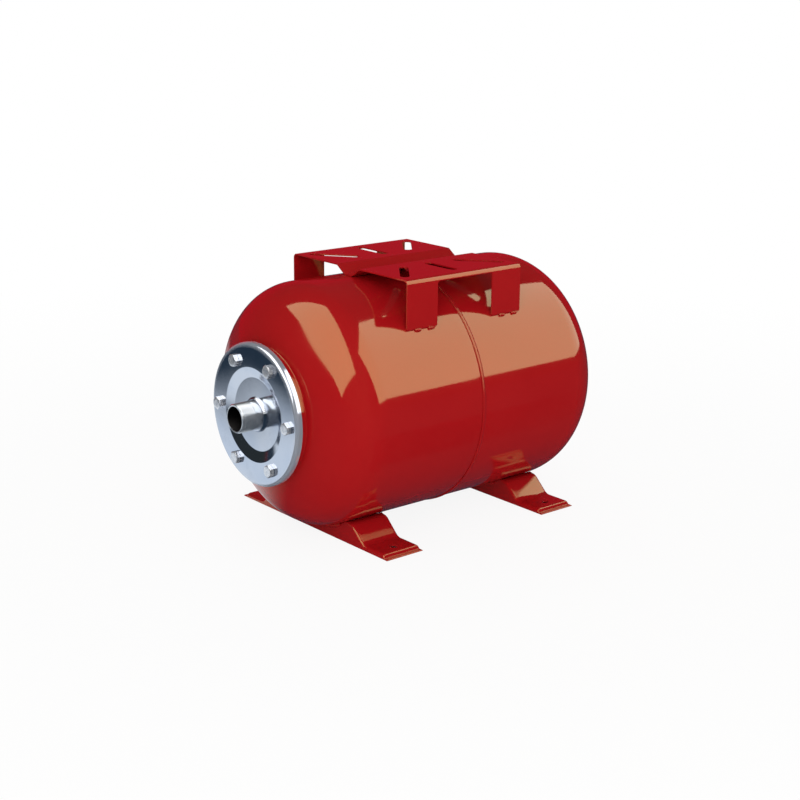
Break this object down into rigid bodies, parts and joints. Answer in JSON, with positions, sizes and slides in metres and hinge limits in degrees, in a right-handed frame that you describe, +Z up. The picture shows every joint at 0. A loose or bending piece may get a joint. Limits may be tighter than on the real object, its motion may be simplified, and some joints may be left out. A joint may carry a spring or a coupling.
{
  "type": "pressure tank",
  "caption": "Horizontal red steel pressure tank with a bolted water flange, a slotted pump platform on top and two pressed feet.",
  "frame": {"origin": "on the floor, under the middle of the overall length and width", "axes": "+X along the tank from the water connection to the air valve, +Y across, +Z up"},
  "size_m": [0.4918, 0.2824, 0.3],
  "materials": {
    "red_enamel": "glossy red enamel over drawn steel",
    "zinc_steel": "bright bluish zinc plate, buffed",
    "zinc_thread": "bright zinc plate on turned steel",
    "bolt_steel": "bright zinc plate",
    "nut_steel": "plain cold formed steel",
    "bladder_rubber": "matt black moulded rubber",
    "seal_rubber": "matt black rubber",
    "valve_brass": "turned brass",
    "valve_steel": "drawn stainless wire and pin",
    "cover_plastic": "moulded black plastic"
  },
  "bodies": {
    "tank": {"front_shell": "red_enamel", "rear_shell": "red_enamel", "girth_weld": "red_enamel", "pump_platform": "red_enamel", "platform_welds": "red_enamel", "front_foot": "red_enamel", "rear_foot": "red_enamel", "foot_welds": "red_enamel", "valve_boss": "red_enamel", "boss_weld": "red_enamel", "counterflange": "zinc_steel", "nipple_collar": "zinc_steel", "water_nipple": "zinc_thread", "flange_bolts": "bolt_steel", "weld_nuts": "nut_steel", "bladder": "bladder_rubber", "valve_stem": "valve_brass", "valve_core": "valve_brass", "core_seal": "seal_rubber", "valve_spring": "valve_steel"},
    "cover": {"valve_cover": "cover_plastic", "cover_seal": "seal_rubber"},
    "pin": {"valve_pin": "valve_steel", "poppet_seal": "seal_rubber"}
  },
  "joints": [
    {"name": "valve_cover_off", "type": "slide", "parent": "tank", "child": "cover", "axis": [1, 0, 0], "range_m": [0, 0.028]},
    {"name": "valve_pin_press", "type": "slide", "parent": "tank", "child": "pin", "axis": [-1, 0, 0], "range_m": [0, 0.0012], "stiffness_N_per_m": 400, "springref_m": -0.002, "deforming": ["valve_spring"]}
  ]
}
